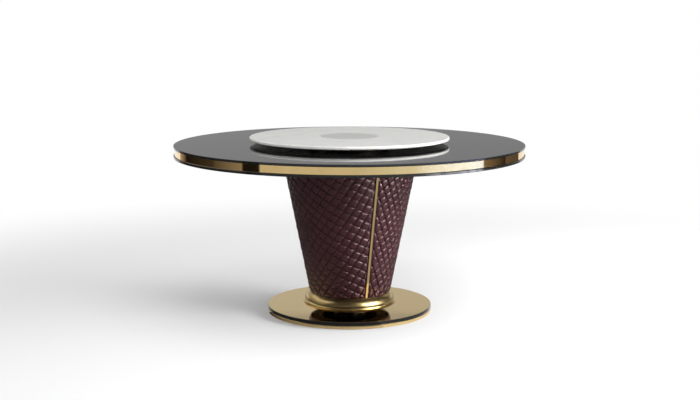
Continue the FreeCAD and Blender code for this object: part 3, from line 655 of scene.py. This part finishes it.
def white_surroundings():
    """A world that shows white and fills the shadows at a lower level."""
    fill_level = 0.6
    world = bpy.data.worlds.new("studio")
    bpy.context.scene.world = world
    world.use_nodes = True
    tree = world.node_tree
    fill = tree.nodes["Background"]
    fill.inputs["Color"].default_value = (1, 1, 1, 1)
    fill.inputs["Strength"].default_value = fill_level
    backdrop = tree.nodes.new("ShaderNodeBackground")
    backdrop.inputs["Color"].default_value = (1, 1, 1, 1)
    mix = tree.nodes.new("ShaderNodeMixShader")
    tree.links.new(seen_directly(tree), mix.inputs["Fac"])
    tree.links.new(fill.outputs[0], mix.inputs[1])
    tree.links.new(backdrop.outputs[0], mix.inputs[2])
    tree.links.new(mix.outputs[0], tree.nodes["World Output"].inputs["Surface"])


def soft_lamp(name, place, target, width, height, power):
    """A rectangular lamp that shows neither to the camera nor in reflections."""
    lamp = bpy.data.lights.new(name, "AREA")
    lamp.shape = "RECTANGLE"
    lamp.size = width
    lamp.size_y = height
    lamp.energy = power
    lit = bpy.data.objects.new(name, lamp)
    lit.location = place
    lit.rotation_euler = (Vector(target) - Vector(place)).to_track_quat("-Z", "Y").to_euler()
    lit.visible_camera = False
    lit.visible_glossy = False
    bpy.context.collection.objects.link(lit)


def photograph_camera():
    """The camera that was fitted to the photograph."""
    camera = bpy.data.objects.new("camera", bpy.data.cameras.new("camera"))
    camera.data.sensor_width = SENSOR_WIDTH
    camera.data.lens = FOCAL_PIXELS * SENSOR_WIDTH / IMAGE_WIDTH
    camera.location = CAMERA_PLACE
    camera.rotation_euler = (math.pi / 2 - CAMERA_DOWN, 0, 0)
    bpy.context.collection.objects.link(camera)
    bpy.context.scene.camera = camera


def upright(low, high, distance=3.8):
    """The edge of a card that stands round the table."""
    return (distance, low), (distance, high)


pale_floor()
white_surroundings()

# edges of the cards that lie flat, then each card's turns, edge and colours at the two turns
FLAT = (0.415, 0.0005), (3.79, 0.0005)
RIM = (0.37, 0.0005), (0.415, 0.0005)
SHELF = (0.80, 0.62), (1.36, 0.62)
CARDS = {
    "left_end": ((-131, -119), upright(0, 1.9), warm(0.47), warm(0.03)),
    "left": ((-119, -87), upright(0, 0.5), warm(0.01), warm(0.045)),
    "left_glow": ((-87, -63.9), upright(0, 0.5), warm(0.075), (0.26, 0.24, 0.22)),
    "left_high": ((-119, -63.9), upright(0.5, 1.9), grey(0.3), grey(0.5)),
    "left_edge": ((-63.9, -52), upright(0, 1.9), warm(0.01), warm(0.012)),
    "front_foot": ((-52, 35), upright(0, 0.25), grey(0.05), grey(0.1)),
    "front": ((-52, 5), upright(0.25, 0.43), (0.60, 0.595, 0.57), (0.62, 0.64, 0.64)),
    "front_near_right": ((5, 35), upright(0.25, 0.43), (0.62, 0.64, 0.64), (0.74, 0.82, 0.93)),
    "front_middle": ((-52, 35), upright(0.43, 1.7), grey(0.03), grey(0.05)),
    "front_high": ((-52, 35), upright(1.7, 2.6), grey(0.06), grey(0.05)),
    "front_head": ((-52, 35), upright(2.6, 4.5), grey(0.03), grey(0.05)),
    "front_right": ((35, 52), upright(0.25, 0.5), (0.74, 0.82, 0.93), (0.98, 1.22, 1.88)),
    "right": ((52, 85.5), upright(0.25, 0.5), (0.94, 1.17, 1.8), (1.04, 1.37, 2.45)),
    "right_dark": ((85.5, 109), upright(0.25, 0.5), warm(0.2), warm(0.02)),
    "right_glow": ((109, 131), upright(0.25, 0.5), warm(0.13), warm(0.08)),
    "right_foot": ((35, 131), upright(0, 0.25), grey(0.3), grey(0.1)),
    "right_high": ((35, 131), upright(0.5, 4.5), grey(0.06), grey(0.03)),
    "highlight_near": ((36, 74), upright(0.50, 0.61, 1.35), grey(29), grey(38)),
    "highlight_far": ((40, 78), upright(0.52, 0.755, 3.7), grey(20), grey(29)),
    # keeps the near highlight off the end of the gold band
    "highlight_shade": ((64, 88), SHELF, grey(0.03), grey(0.03)),
    "strip_light": ((42, 60), upright(2.1, 3.1, 3.7), (1.0, 1.2, 1.8), (1.0, 1.2, 1.8)),
    "rear": ((131, 229), upright(0.6, 1.04), (0.50, 0.48, 0.43), (0.54, 0.54, 0.50)),
    "rear_high": ((131, 229), upright(1.04, 2.4), grey(0.33), grey(0.41)),
    "rim": ((-80, 25), RIM, grey(0), grey(0.70)),
    "floor": ((-170, 25), FLAT, grey(0.06), grey(0.12)),
    "floor_right": ((25, 80), FLAT, grey(0.4), grey(0.4)),
    "floor_rear": ((80, 190), FLAT, grey(0.2), grey(0.06)),
}
card_material = card_glow()
for card_name, card in CARDS.items():
    reflection_card(f"card_{card_name}", *card, card_material)
soft_lamp("key", (3.06, -1.24, 1.35), (0, 0, 0.45), width=1.5, height=1.1, power=128)
soft_lamp("side", (3.29, 0.25, 1.15), (0, 0, 0.3), width=2.0, height=1.3, power=53)
soft_lamp("front", (0, -4.6, 2.4), (0, 0, 0.5), width=3.6, height=2.0, power=46)
soft_lamp("overhead", (0, -1.0, 3.2), (0, 0, 0.6), width=2.0, height=2.0, power=23)
photograph_camera()
bpy.context.scene.view_settings.view_transform = "Standard"
